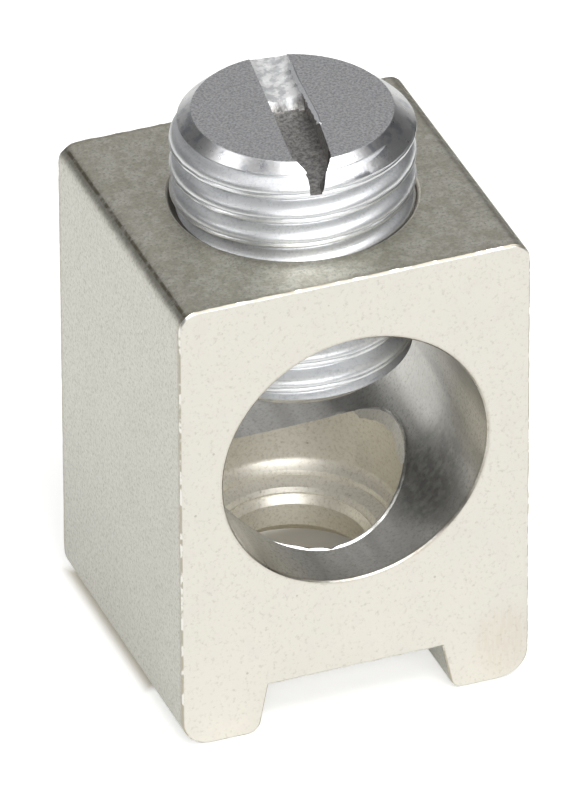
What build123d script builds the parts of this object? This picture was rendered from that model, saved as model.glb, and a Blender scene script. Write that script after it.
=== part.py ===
from build123d import *

import os
from math import ceil, radians, tan

# Mechanical lug: an aluminium block that clamps a cable under a slotted set screw.
# Millimetres. X runs across the front face, Y along the wire bore, away from the viewer, and
# Z up. The origin is the middle of the underside, at the level that the two feet stand on.

# The block, cut from an extrusion that runs along Y
block_width = 16.67
block_depth = 15.30
block_height = 23.05
shoulder_radius = 0.9
foot_radius = 1.4

# The groove between the feet, which straddles the terminal
groove_roof_width = 8.38
groove_height = 2.46
groove_wall_lean = 11.6
groove_lip_radius = 0.5

# The wire bore, right through along Y
bore_radius = 6.31
bore_height = 13.50

# The set screw, a 7/16-20 thread half an inch long
thread_diameter = 11.04
thread_pitch = 1.27
thread_crest_width = 0.40
thread_root_width = 0.12
thread_flank_angle = 30
thread_start_angle = 22
screw_length = 12.70
screw_projection = 4.47
screw_chamfer_width = 1.00
screw_chamfer_height = 0.93

# The slot for a blade, sawn a little deeper towards the front, with a shelf of metal that the
# saw pushed up at the back
slot_width = 1.68
slot_front_depth = 1.10
slot_step_depth = 0.90
slot_shelf_depth = 0.40
slot_shelf_start = 1.35
slot_turn = -7.6

# The hole that the screw runs in
thread_clearance = 0.05
hole_mouth_chamfer = 0.18

# The recess that the tap drill leaves below the bore
tap_drill_radius = 4.96
recess_wall_foot = 5.42
drill_point_angle = 118

# The mounting hole, from the recess's floor down to the groove
mounting_hole_radius = 3.375
mounting_hole_edge_break = 0.27
mounting_hole_back_chamfer = 0.65

# How far a cutter runs past the face that it opens
cutter_overrun = 1.0
thread_cutter_overrun = 0.1


def extruded_profile():
    """The section of the extrusion, in the XZ plane."""
    half_width = block_width / 2
    half_roof = groove_roof_width / 2
    half_mouth = half_roof + groove_height * tan(radians(groove_wall_lean))
    with BuildSketch() as section:
        with BuildLine():
            Polyline(
                (-half_width, 0),
                (-half_mouth, 0),
                (-half_roof, groove_height),
                (half_roof, groove_height),
                (half_mouth, 0),
                (half_width, 0),
                (half_width, block_height),
                (-half_width, block_height),
                close=True,
            )
        make_face()
        for corner_x, corner_y, radius in (
            (half_width, block_height, shoulder_radius),
            (half_width, 0, foot_radius),
            (half_mouth, 0, groove_lip_radius),
        ):
            for side in (-1, 1):
                corner = section.vertices().sort_by_distance((side * corner_x, corner_y, 0))[0]
                fillet(corner, radius)
    return Plane.XZ * section.sketch


def turned(outline):
    """A solid turned about the Z axis from an outline of (radius, height) points."""
    with BuildPart() as solid:
        with BuildSketch(Plane.XZ):
            with BuildLine():
                Polyline(*outline, close=True)
            make_face()
        revolve(axis=Axis.Z)
    return solid.part


def screw_hole():
    """What the drills and the tap take out of the block, from the top face to the groove."""
    hole_radius = thread_diameter / 2 + thread_clearance
    mouth_radius = hole_radius + hole_mouth_chamfer
    cone_slope = tan(radians(90 - drill_point_angle / 2))
    break_radius = mounting_hole_radius + mounting_hole_edge_break
    cone_foot = recess_wall_foot - (tap_drill_radius - break_radius) * cone_slope
    back_radius = mounting_hole_radius + mounting_hole_back_chamfer
    return turned(
        [
            (0, block_height + cutter_overrun),
            (mouth_radius, block_height + cutter_overrun),
            (mouth_radius, block_height),
            (hole_radius, block_height - hole_mouth_chamfer),
            (hole_radius, bore_height),
            (tap_drill_radius, bore_height),
            (tap_drill_radius, recess_wall_foot),
            (break_radius, cone_foot),
            (mounting_hole_radius, cone_foot - mounting_hole_edge_break),
            (mounting_hole_radius, groove_height + mounting_hole_back_chamfer),
            (back_radius, groove_height),
            (back_radius, groove_height - cutter_overrun),
            (0, groove_height - cutter_overrun),
        ]
    )


def lug_body():
    """The block with its wire bore and its screw hole."""
    block = extrude(extruded_profile(), block_depth / 2, both=True)
    wire_bore = Cylinder(bore_radius, block_depth + 2 * cutter_overrun)
    return block - Pos(0, 0, bore_height) * Rot(90, 0, 0) * wire_bore - screw_hole()


def screw_blank(top, tip):
    """The screw before its thread and slot: a bar with a chamfer at each end."""
    radius = thread_diameter / 2
    end_radius = radius - screw_chamfer_width
    return turned(
        [
            (0, tip),
            (end_radius, tip),
            (radius, tip + screw_chamfer_height),
            (radius, top - screw_chamfer_height),
            (end_radius, top),
            (0, top),
        ]
    )


def thread_groove_turn(start):
    """One turn of the helical groove between the crests, from the height where it starts."""
    radius = thread_diameter / 2
    flank_slope = tan(radians(thread_flank_angle))
    crest_gap = thread_pitch - thread_crest_width
    root_radius = radius - (crest_gap - thread_root_width) / 2 / flank_slope
    outer_radius = radius + thread_cutter_overrun
    outer_gap = crest_gap + 2 * thread_cutter_overrun * flank_slope
    helix = Helix(pitch=thread_pitch, height=thread_pitch, radius=radius, center=(0, 0, start))
    with BuildSketch(Plane(origin=(0, 0, start), x_dir=(1, 0, 0), z_dir=(0, -1, 0))) as section:
        with BuildLine():
            Polyline(
                (root_radius, -thread_root_width / 2),
                (outer_radius, -outer_gap / 2),
                (outer_radius, outer_gap / 2),
                (root_radius, thread_root_width / 2),
                close=True,
            )
        make_face()
    groove = sweep(section.sketch, path=helix, is_frenet=True)
    return Rot(0, 0, thread_start_angle) * groove


def slot_cutter(top):
    """The saw cut across the screw's top: a floor that drops to the front, and the shelf."""
    reach = thread_diameter / 2 + cutter_overrun
    with BuildPart() as cutter:
        with BuildSketch(Plane.YZ):
            with BuildLine():
                Polyline(
                    (-reach, top - slot_front_depth),
                    (slot_shelf_start, top - slot_step_depth),
                    (slot_shelf_start, top - slot_shelf_depth),
                    (reach, top - slot_shelf_depth),
                    (reach, top + cutter_overrun),
                    (-reach, top + cutter_overrun),
                    close=True,
                )
            make_face()
        extrude(amount=slot_width / 2, both=True)
    return Rot(0, 0, slot_turn) * cutter.part


def set_screw():
    """The threaded and slotted set screw, at the height where the lug shows it."""
    top = block_height + screw_projection
    tip = top - screw_length
    screw = screw_blank(top, tip)
    turn_count = ceil(screw_length / thread_pitch) + 2
    for turn in range(turn_count):
        screw -= thread_groove_turn(tip + (turn - 1) * thread_pitch)
    return screw - slot_cutter(top)


os.makedirs("parts", exist_ok=True)
export_step(lug_body(), "parts/lug_body.step")
export_step(set_screw(), "parts/set_screw.step")
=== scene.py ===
from math import atan2, cos, degrees, pi, radians, sin, tan

import bpy
from mathutils import Matrix, Vector, noise


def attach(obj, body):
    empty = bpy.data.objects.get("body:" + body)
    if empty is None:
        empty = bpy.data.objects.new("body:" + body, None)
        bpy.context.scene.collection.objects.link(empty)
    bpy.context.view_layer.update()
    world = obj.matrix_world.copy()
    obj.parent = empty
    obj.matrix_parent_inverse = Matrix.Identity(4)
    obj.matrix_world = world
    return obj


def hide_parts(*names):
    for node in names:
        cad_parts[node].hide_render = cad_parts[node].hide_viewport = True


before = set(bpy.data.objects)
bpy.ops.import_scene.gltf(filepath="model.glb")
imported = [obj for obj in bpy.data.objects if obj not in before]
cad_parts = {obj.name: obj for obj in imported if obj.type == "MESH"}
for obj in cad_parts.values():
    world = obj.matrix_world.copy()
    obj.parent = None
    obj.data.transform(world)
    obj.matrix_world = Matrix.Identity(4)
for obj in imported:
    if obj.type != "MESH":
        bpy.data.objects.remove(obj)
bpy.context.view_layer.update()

# Camera
# The photograph was taken with a very long lens from the front left and above. The numbers
# come from the block's straight edges and the two round rims in the photograph.
photo_width = 587
photo_height = 800
focal_pixels = 13828.0
optical_centre_x = 292.03
optical_centre_y = 401.44
sensor_long_side = 36.0
camera_place = Vector((-0.18733, -0.48567, 0.35117))
view_azimuth = 21.084
view_elevation = 33.089
camera_roll = -0.258

camera_data = bpy.data.cameras.new("camera")
camera_data.sensor_fit = "AUTO"
camera_data.sensor_width = sensor_long_side
camera_data.lens = focal_pixels * sensor_long_side / photo_height
camera_data.shift_x = (photo_width / 2 - optical_centre_x) / photo_height
camera_data.shift_y = (optical_centre_y - photo_height / 2) / photo_height
camera_data.clip_start = 0.05
camera_data.clip_end = 20.0
camera = bpy.data.objects.new("camera", camera_data)
bpy.context.scene.collection.objects.link(camera)
camera.matrix_world = (
    Matrix.Translation(camera_place)
    @ Matrix.Rotation(radians(-view_azimuth), 4, "Z")
    @ Matrix.Rotation(radians(90 - view_elevation), 4, "X")
    @ Matrix.Rotation(radians(camera_roll), 4, "Z")
)
bpy.context.scene.camera = camera

# Block
# One piece of aluminium, sawn from an extruded bar, bored, drilled and tapped, and then tin
# plated. Its two sawn ends are the front and the back face. The saw leaves a thin burr round
# them, and the drills leave one where the screw's hole breaks into the wire bore.
mm = 0.001
block_width = 16.67 * mm
block_depth = 15.30 * mm
block_height = 23.05 * mm
shoulder_radius = 0.9 * mm
foot_radius = 1.4 * mm
groove_roof_width = 8.38 * mm
groove_height = 2.46 * mm
groove_wall_lean = 11.6
groove_lip_radius = 0.5 * mm
saw_burr_width = 0.09 * mm
saw_burr_waviness = 0.05 * mm
bore_radius = 6.31 * mm
bore_height = 13.50 * mm
bore_mouth_break = 0.07 * mm
tap_drill_radius = 4.96 * mm
rim_burr_radius = 5.13 * mm
rim_burr_top_radius = 5.04 * mm
rim_burr_height = 0.08 * mm
rim_burr_start = -122
rim_burr_end = 52
rim_burr_gap = -92
rim_burr_gap_half_width = 3.0
recess_wall_foot = 5.42 * mm
drill_point_angle = 118
drill_ring_depth = 0.05 * mm
mounting_hole_radius = 3.375 * mm
mounting_hole_edge_break = 0.27 * mm
mounting_hole_back_chamfer = 0.65 * mm
stain_x = 7.1 * mm
stain_z = 2.2 * mm
stain_half_width = 1.5 * mm
stain_half_height = 2.0 * mm
# Where the painted dark reflection lies, on the wire bore's lower right.
dark_reflection_x = 4.6 * mm
dark_reflection_y = -4.3 * mm
dark_reflection_half_width = 1.6 * mm
dark_reflection_half_length = 2.8 * mm
cutter_overrun = 1.0 * mm
front_y = -block_depth / 2
half_width = block_width / 2
round_steps = 192


def deselect():
    """Leave object mode with nothing selected."""
    if bpy.context.object and bpy.context.object.mode != "OBJECT":
        bpy.ops.object.mode_set(mode="OBJECT")
    bpy.ops.object.select_all(action="DESELECT")


def pick(piece):
    """Make one piece the only selected and the active one."""
    deselect()
    piece.select_set(True)
    bpy.context.view_layer.objects.active = piece


def drawn_line(name, points):
    """A line drawn from point to point, each one extruded from the last."""
    deselect()
    bpy.ops.mesh.primitive_plane_add(size=mm, location=points[0])
    line = bpy.context.object
    line.name = name
    bpy.ops.object.transform_apply(location=True, rotation=False, scale=False)
    bpy.ops.object.mode_set(mode="EDIT")
    bpy.ops.mesh.select_mode(type="VERT")
    bpy.ops.mesh.select_all(action="SELECT")
    bpy.ops.mesh.merge(type="CENTER")
    for start, end in zip(points, points[1:]):
        step = Vector(end) - Vector(start)
        bpy.ops.mesh.extrude_region_move(TRANSFORM_OT_translate={"value": step})
    bpy.ops.object.mode_set(mode="OBJECT")
    return line


def turned(name, outline, along="Z", centre_height=0.0):
    """A closed solid turned from an outline of (radius, height) points that ends on its axis."""
    if along == "Z":
        points = [(radius, 0, height) for radius, height in outline]
        axis = (0, 0, 1)
    else:
        points = [(radius, height, centre_height) for radius, height in outline]
        axis = (0, 1, 0)
    solid = drawn_line(name, points)
    bpy.ops.object.mode_set(mode="EDIT")
    bpy.ops.mesh.select_all(action="SELECT")
    bpy.ops.mesh.spin(
        steps=round_steps, angle=2 * pi, center=(0, 0, centre_height), axis=axis, dupli=False
    )
    bpy.ops.mesh.select_all(action="SELECT")
    bpy.ops.mesh.remove_doubles(threshold=0.001 * mm)
    bpy.ops.mesh.normals_make_consistent(inside=False)
    bpy.ops.object.mode_set(mode="OBJECT")
    return solid


def carve(piece, cutter, operation="DIFFERENCE"):
    """Cut a piece with another one, or keep what both share. The other one is used up."""
    pick(piece)
    boolean = piece.modifiers.new("carve", "BOOLEAN")
    boolean.operation = operation
    boolean.solver = "EXACT"
    boolean.object = cutter
    boolean.material_mode = "TRANSFER"
    bpy.ops.object.modifier_apply(modifier=boolean.name)
    bpy.data.objects.remove(cutter)


class Channel:
    """A value of a finish, on which Python's operators act by adding Math nodes."""

    def __init__(self, finish, socket):
        self.finish = finish
        self.socket = socket

    def __add__(self, other):
        return self.finish.math("ADD", self, other)

    def __sub__(self, other):
        return self.finish.math("SUBTRACT", self, other)

    def __mul__(self, other):
        return self.finish.math("MULTIPLY", self, other)

    def __truediv__(self, other):
        return self.finish.math("DIVIDE", self, other)

    def __radd__(self, other):
        return self.finish.math("ADD", other, self)

    def __rsub__(self, other):
        return self.finish.math("SUBTRACT", other, self)

    def __rmul__(self, other):
        return self.finish.math("MULTIPLY", other, self)

    def __pow__(self, other):
        return self.finish.math("POWER", self, other)


class Finish:
    """A finish under the brush: one material, metal unless told, and its node tree."""

    def __init__(self, name):
        self.material = bpy.data.materials.new(name)
        self.material.use_nodes = True
        self.tree = self.material.node_tree
        self.shader = self.tree.nodes["Principled BSDF"]
        self.shader.inputs["Metallic"].default_value = 1.0
        self.place = self.node("ShaderNodeTexCoord").outputs["Object"]
        parts = self.node("ShaderNodeSeparateXYZ", None, {"Vector": self.place}).outputs
        self.x, self.y, self.z = (Channel(self, parts[name]) for name in "XYZ")

    def node(self, kind, settings=None, inputs=None):
        """Add any node: its settings first, then its sockets."""
        made = self.tree.nodes.new(kind)
        for name, value in (settings or {}).items():
            setattr(made, name, value)
        for name, value in (inputs or {}).items():
            self.feed(made.inputs[name], value)
        return made

    def feed(self, socket, value):
        """Link a value to a socket, or set it there when it is a plain number or colour."""
        if isinstance(value, Channel):
            value = value.socket
        if isinstance(value, bpy.types.NodeSocket):
            self.tree.links.new(value, socket)
        else:
            socket.default_value = value

    def math(self, operation, first, second=0.0):
        """A Math node's result. A second value isn't needed by every operation."""
        made = self.node("ShaderNodeMath", {"operation": operation}, {0: first, 1: second})
        return Channel(self, made.outputs[0])

    def join(self, x, y, z):
        """One vector of three values, to stretch a pattern one way."""
        return self.node("ShaderNodeCombineXYZ", None, {"X": x, "Y": y, "Z": z}).outputs[0]

    def noise(self, scale, detail=2.0, vector=None, rough=0.55):
        """Noise of about 0 to 1. Its scale is in features a metre, or a unit of the vector."""
        made = self.node(
            "ShaderNodeTexNoise",
            None,
            {"Vector": vector or self.place, "Scale": scale, "Detail": detail, "Roughness": rough},
        )
        return Channel(self, made.outputs["Fac"])

    def specks(self, scale, size):
        """One inside small round specks, up to a share of their spacing across, else zero."""
        made = self.node("ShaderNodeTexVoronoi", None, {"Vector": self.place, "Scale": scale})
        return self.ramp(Channel(self, made.outputs["Distance"]), size, 0.6 * size)

    def ramp(self, value, start, end):
        """Zero up to start and one from end on, smooth in between."""
        made = self.node(
            "ShaderNodeMapRange",
            {"interpolation_type": "SMOOTHSTEP"},
            {"Value": value, "From Min": start, "From Max": end},
        )
        return Channel(self, made.outputs["Result"])

    def mixed(self, share, first, second):
        """A colour that goes from the first to the second with the share."""
        made = self.node("ShaderNodeMix", {"data_type": "RGBA"}, {"Factor": share})
        for socket, value in ((made.inputs[6], first), (made.inputs[7], second)):
            plain = isinstance(value, tuple)
            self.feed(socket, (*value, 1.0) if plain else value)
        return made.outputs[2]

    def finished(self, colour, roughness, height, depth):
        """Feed the shader, with a bump from a height field whose full depth is given."""
        bump = self.node(
            "ShaderNodeBump", None, {"Strength": 1.0, "Distance": depth, "Height": height}
        )
        self.feed(self.shader.inputs["Base Color"], colour)
        self.feed(self.shader.inputs["Roughness"], roughness)
        self.feed(self.shader.inputs["Normal"], bump.outputs["Normal"])
        return self.material


# The sawn ends: warm and even, faintly mottled, with a few dark specks, and at the front's
# lower right a brown stain with short upright scratches in it.
def sawn_end():
    finish = Finish("sawn_end")
    x, z = finish.x, finish.z
    depth = finish.math("ABSOLUTE", finish.y)
    grain = finish.noise(5200, 3, rough=0.7)
    colour = finish.mixed(finish.noise(420, 4), (0.78, 0.76, 0.70), (0.83, 0.80, 0.73))
    pinkish = finish.ramp(finish.noise(900, 3), 0.50, 0.72)
    colour = finish.mixed(pinkish, colour, (0.80, 0.765, 0.71))
    colour = finish.mixed(0.7 * finish.ramp(grain, 0.52, 0.75), colour, (0.62, 0.585, 0.52))
    colour = finish.mixed(0.4 * finish.specks(650, 0.05), colour, (0.30, 0.24, 0.17))
    upright = finish.join(x * 7000, finish.y * 300, z * 900)
    scratches = finish.noise(1.0, 3, upright)
    blot_x = (x - stain_x) / stain_half_width
    blot_z = (z - stain_z) / stain_half_height
    blot = finish.ramp(blot_x * blot_x + blot_z * blot_z, 1.4, 0.0)
    blot = blot * finish.ramp(finish.y, -7.4 * mm, -7.6 * mm)
    blot = blot * (0.5 + 0.5 * finish.ramp(scratches, 0.40, 0.62))
    colour = finish.mixed(0.28 * blot, colour, (0.66, 0.56, 0.44))
    axis_drop = z - bore_height
    from_bore = (x * x + axis_drop * axis_drop) ** 0.5
    outlined = finish.ramp(from_bore, bore_radius + 0.20 * mm, bore_radius + 0.06 * mm)
    colour = finish.mixed(0.55 * outlined * finish.noise(1300, 3), colour, (0.34, 0.27, 0.17))
    # The saw's burr is paler and smoother, partly a painted highlight along the sawn edge, and
    # worn dark in places.
    burr = finish.ramp(depth, -front_y - 0.005 * mm, -front_y - 0.035 * mm)
    worn = burr * finish.ramp(finish.noise(1500, 3), 0.59, 0.49)
    colour = finish.mixed(burr, colour, (0.90, 0.88, 0.84))
    colour = finish.mixed(worn, colour, (0.54, 0.50, 0.41))
    roughness = 0.36 + 0.10 * finish.noise(1500, 3) - 0.10 * burr + 0.22 * worn
    height = 0.7 * grain + 0.3 * finish.noise(1300, 2)
    return finish.finished(colour, roughness, height, 0.005 * mm)


# The skin of the extrusion: greyer and grainier than the sawn ends, with faint lines along it.
def extruded_skin():
    finish = Finish("extruded_skin")
    depth = finish.math("ABSOLUTE", finish.y)
    along = finish.join(finish.x * 4200, finish.y * 160, finish.z * 4200)
    lines = finish.noise(1.0, 2, along)
    grain = finish.noise(6500, 4, rough=0.75)
    colour = finish.mixed(finish.noise(380, 4), (0.65, 0.645, 0.595), (0.73, 0.72, 0.665))
    on_top = finish.ramp(finish.z, 22.3 * mm, 22.9 * mm)
    blotches = finish.noise(1500, 5, rough=0.7)
    film = finish.mixed(finish.ramp(blotches, 0.38, 0.62), (0.79, 0.77, 0.68), (0.59, 0.56, 0.45))
    colour = finish.mixed(0.8 * on_top, colour, film)
    colour = finish.mixed(finish.ramp(grain, 0.45, 0.72), colour, (0.46, 0.45, 0.39))
    colour = finish.mixed(0.7 * finish.ramp(grain, 0.42, 0.26), colour, (0.88, 0.875, 0.82))
    colour = finish.mixed(0.5 * finish.specks(1500, 0.10), colour, (0.40, 0.37, 0.30))
    across = finish.math("ABSOLUTE", finish.x) - (half_width - shoulder_radius)
    from_line = across - (finish.z - block_height + shoulder_radius) + 0.15 * mm
    from_line = finish.math("ABSOLUTE", from_line)
    line = finish.ramp(from_line, 0.17 * mm, 0.05 * mm)
    line = line * finish.ramp(finish.noise(2400, 3), 0.30, 0.55)
    colour = finish.mixed(0.8 * line, colour, (0.20, 0.17, 0.11))
    # A painted shadow behind the saw's burr: the skin is darkened brown along each sawn end.
    edge = finish.ramp(depth, -front_y - 0.42 * mm, -front_y - 0.10 * mm)
    colour = finish.mixed(0.75 * edge * finish.noise(1900, 3), colour, (0.34, 0.30, 0.22))
    roughness = 0.34 + 0.14 * finish.noise(2500, 3)
    height = 0.75 * grain + 0.25 * lines
    return finish.finished(colour, roughness, height, 0.009 * mm)


# The wire bore's wall: bands along its axis, where the drawn metal was burnished, and on its lower
# right, in front of the recess, a painted dark reflection.
def bored_wall():
    finish = Finish("bored_wall")
    depth = finish.math("ABSOLUTE", finish.y)
    along = finish.join(finish.x * 520, finish.y * 90, finish.z * 520)
    bands = finish.ramp(finish.noise(1.0, 2, along), 0.30, 0.70)
    grain = finish.noise(6500, 4, rough=0.75)
    colour = finish.mixed(bands, (0.58, 0.57, 0.54), (0.88, 0.87, 0.83))
    colour = finish.mixed(0.8 * finish.ramp(grain, 0.45, 0.72), colour, (0.46, 0.45, 0.41))
    colour = finish.mixed(0.4 * finish.specks(1300, 0.10), colour, (0.92, 0.91, 0.87))
    mouth = finish.ramp(depth, -front_y - 0.30 * mm, -front_y - 0.06 * mm)
    colour = finish.mixed(0.7 * mouth * finish.noise(1500, 3), colour, (0.36, 0.29, 0.18))
    # A painted dark reflection on the lower right of the bore's wall.
    across = (finish.x - dark_reflection_x) / dark_reflection_half_width
    inward = (finish.y - dark_reflection_y) / dark_reflection_half_length
    dark_reflection = finish.ramp(across * across + inward * inward, 1.5, 0.1)
    dark_reflection = dark_reflection * (0.65 + 0.35 * finish.ramp(finish.noise(2200, 4), 0.35, 0.60))
    colour = finish.mixed(0.75 * dark_reflection, colour, (0.17, 0.17, 0.165))
    roughness = 0.27 + 0.08 * bands + 0.10 * dark_reflection
    return finish.finished(colour, roughness, 0.85 * grain + 0.15 * bands, 0.008 * mm)


# The recess that the tap drill leaves: warm grey, with fine rings round the hole's axis. Its
# colours are paler than the rest of the metal's, partly as painted light that brightens the
# recess.
def drilled_wall():
    finish = Finish("drilled_wall")
    finish.shader.inputs["Metallic"].default_value = 0.5
    x, y, z = finish.x, finish.y, finish.z
    radius = (x * x + y * y) ** 0.5
    rings = finish.noise(1.0, 2, finish.join(x * 60, y * 60, (z - 0.6 * radius) * 7000))
    grain = finish.noise(6500, 4, rough=0.75)
    colour = finish.mixed(finish.noise(500, 3), (0.91, 0.87, 0.77), (0.97, 0.94, 0.85))
    colour = finish.mixed(0.8 * finish.ramp(grain, 0.45, 0.72), colour, (0.66, 0.62, 0.52))
    colour = finish.mixed(0.6 * finish.ramp(grain, 0.42, 0.26), colour, (1.0, 0.98, 0.92))
    colour = finish.mixed(0.5 * finish.specks(1100, 0.07), colour, (0.30, 0.26, 0.20))
    # Painted shade in the gap round the screw: the hole's wall is darkened near its mouth.
    gap_shade = finish.ramp(z, 20.0 * mm, 21.0 * mm) * finish.ramp(z, 23.03 * mm, 22.92 * mm)
    colour = finish.mixed(0.9 * gap_shade, colour, (0.10, 0.085, 0.065))
    roughness = 0.32 + 0.10 * finish.noise(1800, 3) + 0.2 * gap_shade
    height = 0.6 * grain + 0.4 * rings
    return finish.finished(colour, roughness, height, 0.010 * mm)


# The bar's section: four square corners and the groove, whose corners are then rounded.
def round_corners(piece, radius, places):
    """Round the corners of a flat outline that stand at the given (x, z) places."""
    bpy.ops.object.mode_set(mode="OBJECT")
    for part in (*piece.data.edges, *piece.data.polygons):
        part.select = False
    for vertex in piece.data.vertices:
        vertex.select = any(
            abs(vertex.co.x - x) + abs(vertex.co.z - z) < 0.001 * mm for x, z in places
        )
    bpy.ops.object.mode_set(mode="EDIT")
    bpy.ops.mesh.select_mode(type="VERT")
    bpy.ops.mesh.bevel(offset=radius, segments=10, affect="VERTICES", clamp_overlap=False)


half_roof = groove_roof_width / 2
half_mouth = half_roof + groove_height * tan(radians(groove_wall_lean))
section_corners = [
    (-half_width, 0),
    (-half_mouth, 0),
    (-half_roof, groove_height),
    (half_roof, groove_height),
    (half_mouth, 0),
    (half_width, 0),
    (half_width, block_height),
    (-half_width, block_height),
]
block = drawn_line("block", [(x, front_y, z) for x, z in section_corners])
block.data.materials.append(sawn_end())
block.data.materials.append(extruded_skin())
bpy.ops.object.mode_set(mode="EDIT")
bpy.ops.mesh.select_all(action="SELECT")
bpy.ops.mesh.edge_face_add()
round_corners(block, shoulder_radius, [(-half_width, block_height), (half_width, block_height)])
round_corners(block, foot_radius, [(-half_width, 0), (half_width, 0)])
round_corners(block, groove_lip_radius, [(-half_mouth, 0), (half_mouth, 0)])


def pick_edges(piece, wanted):
    """Select, in edit mode, only the edges whose two ends pass a test."""
    bpy.ops.object.mode_set(mode="OBJECT")
    for part in (*piece.data.vertices, *piece.data.edges, *piece.data.polygons):
        part.select = False
    for edge in piece.data.edges:
        start, end = (piece.data.vertices[index].co for index in edge.vertices)
        edge.select = wanted(start, end)
    bpy.ops.object.mode_set(mode="EDIT")
    bpy.ops.mesh.select_mode(type="EDGE")


# The long straight edges get more points, so that the saw's burr can wander along them.
pick_edges(block, lambda start, end: (end - start).length > 6 * mm)
bpy.ops.mesh.subdivide(number_cuts=70)
bpy.ops.mesh.select_all(action="SELECT")
bpy.ops.mesh.extrude_region_move(TRANSFORM_OT_translate={"value": (0, block_depth, 0)})
bpy.ops.mesh.select_all(action="SELECT")
bpy.ops.mesh.normals_make_consistent(inside=False)

# The burr that the saw leaves is a narrow bright slope round each end, a little uneven.
pick_edges(block, lambda start, end: abs(start.y - end.y) < 0.001 * mm)
bpy.ops.mesh.bevel(offset=saw_burr_width, segments=1, affect="EDGES", clamp_overlap=False)
bpy.ops.object.mode_set(mode="OBJECT")
for vertex in block.data.vertices:
    place = vertex.co / mm
    rim_distance = abs(abs(vertex.co.y) - block_depth / 2)
    if 0.5 * saw_burr_width < rim_distance < 2 * saw_burr_width:
        wander = noise.noise(Vector((place.x * 1.3, place.y * 0.1, place.z * 1.3)))
        wander += 0.6 * noise.noise(Vector((place.x * 4.1, place.y * 0.1, place.z * 4.1)))
        vertex.co.y += wander * saw_burr_waviness * (-1 if vertex.co.y > 0 else 1)
for face in block.data.polygons:
    face.material_index = 0 if abs(face.normal.y) > 0.2 else 1

# The wire bore, right through, with its sharp mouths just broken.
wide_bore = bore_radius + bore_mouth_break
bore_end = block_depth / 2 + cutter_overrun
bore_outline = [
    (0, -bore_end),
    (wide_bore, -bore_end),
    (wide_bore, front_y),
    (bore_radius, front_y + bore_mouth_break),
    (bore_radius, -front_y - bore_mouth_break),
    (wide_bore, -front_y),
    (wide_bore, bore_end),
    (0, bore_end),
]
bore = turned("bore", bore_outline, along="Y", centre_height=bore_height)
bore.data.materials.append(bored_wall())
inner_radius = bore_radius - rim_burr_height
inner_bore_outline = [
    (0, -bore_end),
    (inner_radius, -bore_end),
    (inner_radius, bore_end),
    (0, bore_end),
]
rim_outline = [
    (0, recess_wall_foot),
    (rim_burr_radius, recess_wall_foot),
    (rim_burr_radius, bore_height),
    (0, bore_height),
]
rim_burr = turned("rim_burr", rim_outline)
rim_burr.data.materials.append(bore.data.materials["bored_wall"])
carve(rim_burr, turned("inner_bore", inner_bore_outline, along="Y", centre_height=bore_height))
carve(bore, rim_burr)
carve(block, bore)

# The tap drill's recess, with a worn corner at the wall's foot, a ring that its lips cut, and
# the mounting hole in its floor.
cone_slope = tan(radians(90 - drill_point_angle / 2))
break_radius = mounting_hole_radius + mounting_hole_edge_break
cone_foot = recess_wall_foot - (tap_drill_radius - break_radius) * cone_slope
back_radius = mounting_hole_radius + mounting_hole_back_chamfer
ring_radius = 4.47 * mm
ring_height = recess_wall_foot - (tap_drill_radius - ring_radius) * cone_slope
recess_outline = [
    (0, block_height + cutter_overrun),
    (tap_drill_radius, block_height + cutter_overrun),
    (tap_drill_radius, recess_wall_foot + 0.44 * mm),
    (tap_drill_radius - 0.04 * mm, recess_wall_foot + 0.30 * mm),
    (tap_drill_radius - 0.14 * mm, recess_wall_foot + 0.13 * mm),
    (ring_radius + 0.10 * mm, ring_height + 0.16 * mm),
    (ring_radius + 0.04 * mm, ring_height + 0.04 * mm),
    (ring_radius + 0.01 * mm, ring_height - drill_ring_depth),
    (ring_radius - 0.05 * mm, ring_height - 0.02 * mm),
    (ring_radius - 0.15 * mm, ring_height - 0.05 * mm),
    (break_radius + 0.22 * mm, cone_foot + 0.20 * mm),
    (break_radius + 0.06 * mm, cone_foot + 0.02 * mm),
    (break_radius + 0.04 * mm, cone_foot - 0.06 * mm),
    (break_radius - 0.02 * mm, cone_foot - 0.04 * mm),
    (mounting_hole_radius + 0.05 * mm, cone_foot - mounting_hole_edge_break - 0.05 * mm),
    (mounting_hole_radius, cone_foot - mounting_hole_edge_break - 0.14 * mm),
    (mounting_hole_radius, groove_height + mounting_hole_back_chamfer),
    (back_radius, groove_height),
    (back_radius, groove_height - cutter_overrun),
    (0, groove_height - cutter_overrun),
]
drill = turned("drill", recess_outline)
drill.data.materials.append(drilled_wall())
carve(block, drill)

# The tapped hole, with the screw's thread and a little play, and the countersink round its
# mouth.
thread_diameter = 11.04 * mm
thread_pitch = 1.27 * mm
thread_depth = 0.66 * mm
thread_lip_height = 25.22 * mm
thread_steps = 144
thread_clearance = 0.05 * mm
hole_mouth_chamfer = 0.12 * mm
screw_radius = thread_diameter / 2

# One pitch of the thread's outline, from one root to the next: how far in, how far up.
thread_outline = [
    (1.00, 0.000),
    (0.97, 0.045),
    (0.88, 0.085),
    (0.15, 0.420),
    (0.04, 0.450),
    (0.00, 0.490),
    (0.00, 0.580),
    (0.05, 0.620),
    (0.15, 0.645),
    (0.05, 0.680),
    (0.06, 0.760),
    (0.12, 0.850),
    (0.26, 0.950),
    (0.50, 1.050),
    (0.90, 1.200),
    (0.97, 1.235),
    (1.00, 1.270),
]


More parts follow.
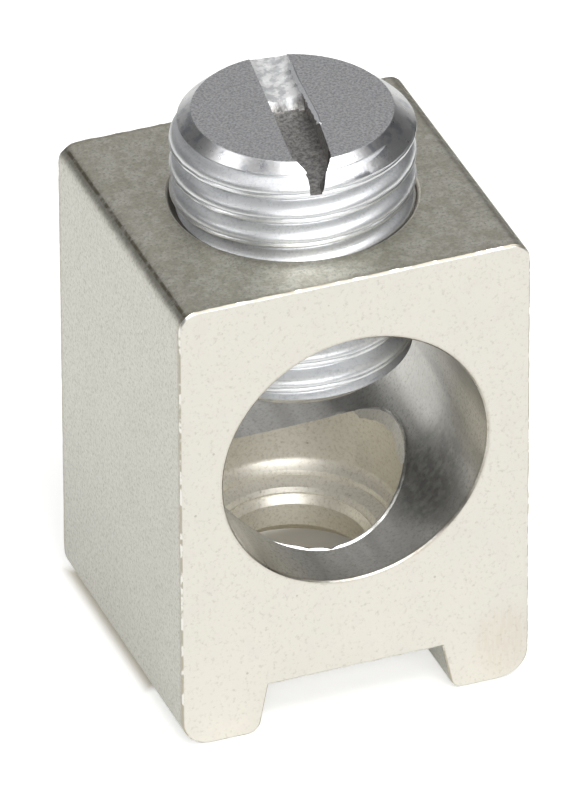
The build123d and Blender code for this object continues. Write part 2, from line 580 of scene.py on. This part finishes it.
def threaded(name, bottom, top, crest_radius, least_radius=0.0):
    """A closed threaded bar between two heights, wound from one pitch of the outline."""
    crest_middle = 0.66 * mm
    turns_down = int((thread_lip_height - bottom) / thread_pitch) + 2
    start = thread_lip_height - crest_middle - turns_down * thread_pitch
    points = [
        (0, -max(crest_radius - inward * thread_depth, least_radius), start + upward * mm)
        for inward, upward in thread_outline
    ]
    bar = drawn_line(name, points)
    pick(bar)
    winding = bar.modifiers.new("winding", "SCREW")
    winding.axis = "Z"
    winding.angle = 2 * pi
    winding.screw_offset = thread_pitch
    winding.iterations = int((top - start) / thread_pitch) + 2
    winding.steps = thread_steps
    winding.render_steps = thread_steps
    bpy.ops.object.modifier_apply(modifier=winding.name)
    bpy.ops.object.mode_set(mode="EDIT")
    bpy.ops.mesh.select_all(action="SELECT")
    bpy.ops.mesh.remove_doubles(threshold=0.002 * mm)
    for height, outward in ((top, 1), (bottom, -1)):
        bpy.ops.mesh.select_all(action="SELECT")
        bpy.ops.mesh.bisect(
            plane_co=(0, 0, height),
            plane_no=(0, 0, outward),
            use_fill=True,
            clear_outer=True,
            threshold=0.0001 * mm,
        )
    bpy.ops.mesh.select_all(action="SELECT")
    bpy.ops.mesh.normals_make_consistent(inside=False)
    bpy.ops.object.mode_set(mode="OBJECT")
    return bar


tap = threaded(
    "tap",
    bore_height,
    block_height + cutter_overrun,
    screw_radius + thread_clearance,
    tap_drill_radius - 0.03 * mm,
)
tap.data.materials.append(block.data.materials["drilled_wall"])
carve(block, tap)
mouth_radius = screw_radius + thread_clearance + hole_mouth_chamfer
mouth_outline = [
    (0, block_height + cutter_overrun),
    (mouth_radius, block_height + cutter_overrun),
    (mouth_radius, block_height),
    (tap_drill_radius - 0.05 * mm, block_height - 0.9 * (mouth_radius - tap_drill_radius)),
    (0, block_height - 0.9 * (mouth_radius - tap_drill_radius)),
]
countersink = turned("countersink", mouth_outline)
countersink.data.materials.append(block.data.materials["drilled_wall"])
carve(block, countersink)

# The drill's burr on the recess's rim slopes outwards. It stands up at the front and is all but
# gone on the left.
for vertex in block.data.vertices:
    place = vertex.co / mm
    radius = (place.x ** 2 + place.y ** 2) ** 0.5
    azimuth = degrees(atan2(place.y, place.x))
    drop = bore_height / mm - place.z
    from_bore = (place.x ** 2 + drop ** 2) ** 0.5
    if drop > 0 and radius < 5.3 and from_bore < bore_radius / mm - 0.05:
        rising = max(0, (azimuth - rim_burr_start) / 16)
        falling = max(0, (rim_burr_end - azimuth) / 12)
        standing = min(1, rising, falling)
        standing *= 1 - 0.9 * max(0, 1 - abs(azimuth - rim_burr_gap) / rim_burr_gap_half_width)
        standing *= 1 + 0.6 * noise.noise(Vector((place.x * 2.0, place.y * 2.0, 3.0)))
        outer = radius > tap_drill_radius / mm + 0.1
        inward = 1 + (rim_burr_top_radius / mm / radius - 1) * min(1, standing) if outer else 1.0
        reach = (bore_radius - standing * rim_burr_height) / mm
        x, y = place.x * inward, place.y * inward
        vertex.co = Vector((x * mm, y * mm, bore_height - (reach ** 2 - x ** 2) ** 0.5 * mm))
pick(block)
bpy.ops.object.mode_set(mode="EDIT")
bpy.ops.mesh.select_all(action="SELECT")
bpy.ops.mesh.remove_doubles(threshold=0.001 * mm)
bpy.ops.object.mode_set(mode="OBJECT")


def sliver(name, rows, thickness):
    """A thin lip of pushed-up metal through rows of points, the first one in the solid."""
    lip = drawn_line(name, rows[0])
    for before, after in zip(rows, rows[1:]):
        bpy.ops.object.mode_set(mode="EDIT")
        if before is rows[0]:
            bpy.ops.mesh.select_all(action="SELECT")
        bpy.ops.mesh.extrude_region_move(TRANSFORM_OT_translate={"value": (0, 0, 0)})
        bpy.ops.object.mode_set(mode="OBJECT")
        for vertex in lip.data.vertices:
            if vertex.select:
                nearest = min(range(len(before)), key=lambda i: (vertex.co - before[i]).length)
                vertex.co = after[nearest]
    solid = lip.modifiers.new("thickness", "SOLIDIFY")
    solid.thickness = thickness
    solid.offset = 0
    pick(lip)
    bpy.ops.object.modifier_apply(modifier=solid.name)
    bpy.ops.object.mode_set(mode="EDIT")
    bpy.ops.mesh.select_all(action="SELECT")
    bpy.ops.mesh.normals_make_consistent(inside=False)
    bpy.ops.object.mode_set(mode="OBJECT")
    return lip


def rim_place(radius, azimuth, above):
    """A place near the recess's rim, at a radius from its axis and above the bore's wall."""
    x = radius * cos(radians(azimuth))
    drop = (bore_radius ** 2 - x * x) ** 0.5
    lift = 1 - above / bore_radius
    return Vector((x * lift, radius * sin(radians(azimuth)), bore_height - drop * lift))


# On the right the burr is a ragged sliver that leans in over the recess.
sliver_start = -28
sliver_step = 1.95
sliver_steps = 33
sliver_reach = 0.30 * mm
sliver_thickness = 0.05 * mm
sliver_rows = [[], [], []]
for step in range(sliver_steps):
    azimuth = sliver_start + sliver_step * step
    ragged = noise.noise(Vector((azimuth * 0.13, 0.0, 1.0))) * mm
    ends = min(1, (step + 1) / 5, (sliver_steps - step) / 4)
    tip_radius = 4.98 * mm - sliver_reach * ends + 0.14 * ragged
    sliver_rows[0].append(rim_place(5.05 * mm, azimuth, -0.04 * mm))
    sliver_rows[1].append(rim_place(5.02 * mm, azimuth, (0.05 + 0.06 * ends) * mm))
    sliver_rows[2].append(rim_place(tip_radius, azimuth, 0.03 * mm))
rim_sliver = sliver("rim_sliver", sliver_rows, sliver_thickness)
rim_sliver.data.materials.append(block.data.materials["drilled_wall"])
pick(block)
rim_sliver.select_set(True)
bpy.ops.object.join()

# Set screw
# A headless screw half an inch long with a rolled 7/16-20 thread, a chamfer at each end and a
# sawn slot. It is aluminium, tin plated, and clamps the cable.
screw_length = 12.70 * mm
screw_projection = 4.47 * mm
screw_chamfer_width = 1.00 * mm
screw_chamfer_height = 0.93 * mm
slot_step_y = 1.35 * mm
slot_turn = -7.6
crest_unevenness = 0.03 * mm
screw_top = block_height + screw_projection
screw_tip = screw_top - screw_length


# The rolled thread: bright and cool, streaked along the thread, with duller grainy patches.
def rolled_thread():
    finish = Finish("rolled_thread")
    x, y, z = finish.x, finish.y, finish.z
    turn = finish.math("ARCTAN2", y, x) / (2 * pi)
    wound = finish.join(x * 260, y * 260, (z - thread_pitch * turn) * 9000)
    streaks = finish.noise(1.0, 3, wound)
    grain = finish.noise(7000, 3, rough=0.7)
    long_patches = finish.join(x * 700, y * 700, (z - thread_pitch * turn) * 2600)
    dull = finish.ramp(finish.noise(1.0, 4, long_patches), 0.40, 0.75)
    colour = finish.mixed(streaks, (0.76, 0.77, 0.79), (0.88, 0.89, 0.90))
    scratched = finish.ramp(streaks, 0.60, 0.70) * finish.ramp(finish.noise(900, 3), 0.40, 0.60)
    colour = finish.mixed(0.5 * scratched, colour, (0.46, 0.48, 0.51))
    colour = finish.mixed(0.6 * finish.ramp(grain, 0.50, 0.75), colour, (0.60, 0.62, 0.64))
    colour = finish.mixed(0.45 * dull * finish.ramp(grain, 0.35, 0.65), colour, (0.52, 0.54, 0.58))
    # Paler and smoother along the crests, partly a painted highlight.
    lip = finish.ramp((x * x + y * y) ** 0.5, screw_radius - 0.09 * mm, screw_radius - 0.03 * mm)
    colour = finish.mixed(0.35 * lip, colour, (0.92, 0.93, 0.94))
    roughness = 0.40 + 0.08 * dull + 0.06 * streaks - 0.14 * lip
    height = 0.50 * streaks + 0.50 * grain
    return finish.finished(colour, roughness, height, 0.008 * mm)


# The cut ends and chamfers: grey and grainy on the flat, bright on the slope. The slope's
# brightness is a painted highlight.
def cut_end():
    finish = Finish("cut_end")
    x, y = finish.x, finish.y
    grain = finish.noise(8500, 3, rough=0.7)
    radius = (x * x + y * y) ** 0.5
    slope_highlight = finish.ramp(radius, blank_end - 0.02 * mm, blank_end + 0.05 * mm)
    colour = finish.mixed(finish.ramp(grain, 0.35, 0.70), (0.72, 0.72, 0.73), (0.40, 0.40, 0.42))
    colour = finish.mixed(0.4 * finish.specks(1500, 0.09), colour, (0.86, 0.86, 0.87))
    dull = finish.ramp(finish.noise(1300, 4), 0.52, 0.66)
    # A painted highlight on the chamfer's slope.
    colour = finish.mixed(0.8 * slope_highlight, colour, (0.90, 0.90, 0.91))
    colour = finish.mixed(0.6 * slope_highlight * dull, colour, (0.46, 0.49, 0.55))
    roughness = 0.44 - 0.20 * slope_highlight + 0.10 * finish.noise(2200, 3)
    return finish.finished(colour, roughness, grain, 0.007 * mm)


# The saw cut: dull brownish grey where it is deep, which is partly painted shade in the slot, and
# bright where its end was smeared over.
def sawn_slot():
    finish = Finish("sawn_slot")
    grain = finish.ramp(finish.noise(6000, 3, rough=0.7), 0.30, 0.70)
    smear = finish.ramp(finish.y, slot_step_y - 0.15 * mm, slot_step_y + 0.15 * mm)
    dull = finish.mixed(grain, (0.22, 0.215, 0.215), (0.56, 0.54, 0.52))
    blots = finish.ramp(finish.noise(2600, 4), 0.42, 0.60)
    bright = finish.mixed(blots, (0.92, 0.92, 0.92), (0.62, 0.63, 0.64))
    colour = finish.mixed(smear, dull, bright)
    finish.feed(finish.shader.inputs["Metallic"], 1 - 0.45 * smear)
    return finish.finished(colour, 0.46 + 0.04 * smear, grain, 0.010 * mm)


screw = threaded("screw", screw_tip - 0.3 * mm, screw_top + 0.3 * mm, screw_radius)
blank_end = screw_radius - screw_chamfer_width
blank_outline = [
    (0, screw_tip),
    (blank_end, screw_tip),
    (screw_radius + 0.02 * mm, screw_tip + screw_chamfer_height),
    (screw_radius + 0.02 * mm, screw_top - screw_chamfer_height),
    (blank_end, screw_top),
    (0, screw_top),
]
for vertex in screw.data.vertices:
    place = vertex.co / mm
    radius = (place.x ** 2 + place.y ** 2) ** 0.5
    if radius > screw_radius / mm - 0.12:
        wander = noise.noise(Vector((place.x * 1.7, place.y * 1.7, place.z * 2.2)))
        wander += 0.5 * noise.noise(Vector((place.x * 5.3, place.y * 5.3, place.z * 6.0)))
        shrink = 1 - crest_unevenness / screw_radius * (0.5 + 0.5 * wander)
        vertex.co.x *= shrink
        vertex.co.y *= shrink
        vertex.co.z += 0.6 * crest_unevenness * wander
screw.data.materials.append(rolled_thread())
blank = turned("blank", blank_outline)
blank.data.materials.append(cut_end())
carve(screw, blank, "INTERSECT")

# The slot's plan, from back to front: how far along, the left wall and the right wall. Its
# walls were pushed in at the front end.
slot_plan = [
    (8.0, -0.90, 0.84),
    (4.0, -0.91, 0.82),
    (2.2, -0.92, 0.78),
    (1.4, -0.93, 0.82),
    (0.3, -0.95, 0.86),
    (-1.0, -0.97, 0.90),
    (-2.3, -1.00, 0.83),
    (-3.4, -1.02, 0.78),
    (-4.3, -0.99, 0.74),
    (-4.7, -0.66, 0.60),
    (-4.9, -0.50, 0.53),
    (-5.4, -0.53, 0.50),
    (-8.0, -0.53, 0.50),
]
slot_reach = 7.0
slot_steps = 110
plan_smoothing = (-0.16, -0.08, 0.0, 0.08, 0.16)
right_wall_lean = 0.42
slot_back_depth = 0.78
slot_front_depth = 1.20


def slot_walls(along):
    """The two walls of the slot at a distance along it, between the plan's points."""
    for (near, left, right), (far, far_left, far_right) in zip(slot_plan, slot_plan[1:]):
        if near >= along >= far:
            share = (near - along) / (near - far)
            return Vector((left + share * (far_left - left), right + share * (far_right - right)))


bpy.ops.mesh.primitive_grid_add(x_subdivisions=14, y_subdivisions=slot_steps, size=2)
saw = bpy.context.object
saw.name = "saw"
bpy.ops.object.mode_set(mode="EDIT")
bpy.ops.mesh.select_all(action="SELECT")
bpy.ops.mesh.extrude_region_move(TRANSFORM_OT_translate={"value": (0, 0, 3 * mm)})
bpy.ops.mesh.select_all(action="SELECT")
bpy.ops.mesh.normals_make_consistent(inside=False)
bpy.ops.object.mode_set(mode="OBJECT")
slot_rotation = Matrix.Rotation(radians(slot_turn), 3, "Z")
for vertex in saw.data.vertices:
    across, along = vertex.co.x, vertex.co.y * slot_reach
    walls = sum((slot_walls(along + shift) for shift in plan_smoothing), Vector((0, 0)))
    left, right = walls / len(plan_smoothing)
    front_share = min(1, max(0, (6.0 - along) / 12.0))
    deep = slot_back_depth + (slot_front_depth - slot_back_depth) * front_share
    lean = right_wall_lean * min(1, max(0, (-3.6 - along) / 1.0))
    if vertex.co.z < mm:
        side = left + (right - lean * deep - left) * (across + 1) / 2
        shallow = 0.36 + 0.05 * (4.4 - along) - 0.24 * abs(across) ** 3
        shallow += 0.06 * noise.noise(Vector((side * 2.3, along * 2.3, 4.0)))
        shallow += 0.05 * noise.noise(Vector((side * 5.9, along * 5.9, 9.0)))
        step_y = slot_step_y / mm + 0.12 * sin(4.0 * side + 0.6)
        share = min(1, max(0, (along - step_y) / 0.24 + 0.5))
        height = screw_top - (share * shallow + (1 - share) * deep) * mm
    else:
        side = left + (right + 2 * lean - left) * (across + 1) / 2
        height = screw_top + 2 * mm
    vertex.co = slot_rotation @ Vector((side * mm, along * mm, height))
saw.data.materials.append(sawn_slot())
carve(screw, saw)

# The saw left a thin curl of metal along the slot's right edge.
curl_start = 3.6
curl_step = 0.13
curl_steps = 41
curl_thickness = 0.05 * mm
curl_rows = [[], [], []]
for step in range(curl_steps):
    along = curl_start - curl_step * step
    edge = slot_walls(along)[1]
    ragged = noise.noise(Vector((along * 2.6, 0.0, 2.0)))
    width = 0.15 + 0.10 * ragged + 0.06 * noise.noise(Vector((along * 7.0, 0.0, 6.0)))
    for row, side, height in ((0, edge + 0.12, -0.06), (1, edge, 0.05), (2, edge - width, 0.00)):
        place = Vector((side * mm, along * mm, screw_top + (height + 0.02 * ragged) * mm))
        curl_rows[row].append(slot_rotation @ place)
curl = sliver("curl", curl_rows, curl_thickness)
curl.data.materials.append(screw.data.materials["rolled_thread"])
pick(screw)
curl.select_set(True)
bpy.ops.object.join()

# Points that all but touch are merged, and a face that this opens is filled again. Then the
# rounded faces are shaded smooth.
weld_distance = 0.0005 * mm
for piece, smooth_angle in ((block, 16), (screw, 28)):
    pick(piece)
    bpy.ops.object.mode_set(mode="EDIT")
    bpy.ops.mesh.select_all(action="SELECT")
    bpy.ops.mesh.dissolve_degenerate(threshold=weld_distance)
    bpy.ops.mesh.remove_doubles(threshold=weld_distance)
    bpy.ops.mesh.fill_holes(sides=0)
    bpy.ops.object.mode_set(mode="OBJECT")
    bpy.ops.object.shade_smooth_by_angle(angle=radians(smooth_angle))
    weighting = piece.modifiers.new("weighting", "WEIGHTED_NORMAL")
    weighting.keep_sharp = True
    weighting.weight = 90
    bpy.ops.object.modifier_apply(modifier=weighting.name)

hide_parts("lug_body")
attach(block, "block")
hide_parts("set_screw")
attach(screw, "screw")

# Floor
# A pale, matt floor that the photograph shows as white. It glows for the camera and, weaker,
# in the metal's reflections. It is dim under the lug, where the mounting hole shows it.
floor_glow = 0.55
# The share of the glow that is left in the painted shadow under the lug.
covered_glow_share = 0.22
reflected_glow_share = 0.34
bpy.ops.mesh.primitive_plane_add(size=4.0, location=(0, 0, 0))
floor = bpy.context.object
floor.name = "floor"


def pale_floor():
    finish = Finish("pale_floor")
    finish.tree.nodes.remove(finish.shader)
    light_path = finish.node("ShaderNodeLightPath").outputs
    # Under the lug the glow is cut back and the colour made olive: a painted shadow, which the
    # mounting hole shows.
    beside = finish.ramp(finish.math("ABSOLUTE", finish.x), 7.6 * mm, 8.6 * mm)
    before = finish.ramp(finish.y, -2.0 * mm, -3.0 * mm)
    behind = finish.ramp(finish.y, 7.0 * mm, 8.4 * mm)
    open_floor = finish.math("MAXIMUM", beside, finish.math("MAXIMUM", before, behind))
    mirrored = finish.math("MULTIPLY", light_path["Is Glossy Ray"], reflected_glow_share)
    seen = finish.math("MAXIMUM", light_path["Is Camera Ray"], mirrored)
    seen = finish.math("MAXIMUM", light_path["Is Transmission Ray"], seen)
    glow = seen * (covered_glow_share + (1 - covered_glow_share) * open_floor) * floor_glow
    colour = finish.mixed(open_floor, (0.68, 0.60, 0.42), (0.80, 0.80, 0.78))
    matt = finish.node("ShaderNodeBsdfDiffuse", None, {"Color": colour})
    glowing = finish.node("ShaderNodeEmission", None, {"Strength": glow})
    both = finish.node("ShaderNodeAddShader", None, {0: matt.outputs[0], 1: glowing.outputs[0]})
    finish.feed(finish.tree.nodes["Material Output"].inputs["Surface"], both.outputs[0])
    return finish.material


floor.data.materials.append(pale_floor())

# Lights
# Five soft boxes round the lug, each as bright as its reflection in the metal has to be, and
# a dim world that lights the rest.
aim_height = 12 * mm
world_light = 0.09


def soft_box(name, direction, distance, size, radiance):
    """A lamp that faces the lug, of a given brightness as a mirror shows it."""
    lamp_data = bpy.data.lights.new(name, "AREA")
    lamp_data.shape = "RECTANGLE"
    lamp_data.size = size[0]
    lamp_data.size_y = size[1]
    lamp_data.energy = radiance * pi * size[0] * size[1]
    lamp = bpy.data.objects.new(name, lamp_data)
    bpy.context.scene.collection.objects.link(lamp)
    towards = Vector(direction).normalized()
    turn = (-towards).to_track_quat("-Z", "Y").to_matrix().to_4x4()
    place = towards * distance + Vector((0, 0, aim_height))
    lamp.matrix_world = Matrix.Translation(place) @ turn


soft_box("front_box", (0.16, -0.46, 0.87), 0.70, (0.60, 0.22), 6.4)
soft_box("top_box", (0.00, 0.05, 1.00), 0.60, (0.56, 0.34), 1.6)
soft_box("left_box", (-0.70, 0.10, 0.65), 0.70, (0.22, 0.22), 3.2)
soft_box("low_box", (-0.10, -0.83, 0.54), 0.75, (0.60, 0.20), 6.5)
soft_box("back_box", (0.10, 0.86, 0.48), 0.80, (0.80, 0.70), 0.34)

world = bpy.data.worlds.new("studio")
bpy.context.scene.world = world
world.use_nodes = True
background = world.node_tree.nodes["Background"]
background.inputs["Color"].default_value = (world_light, world_light, world_light, 1)
background.inputs["Strength"].default_value = 1.0

bpy.context.scene.view_settings.view_transform = "Standard"
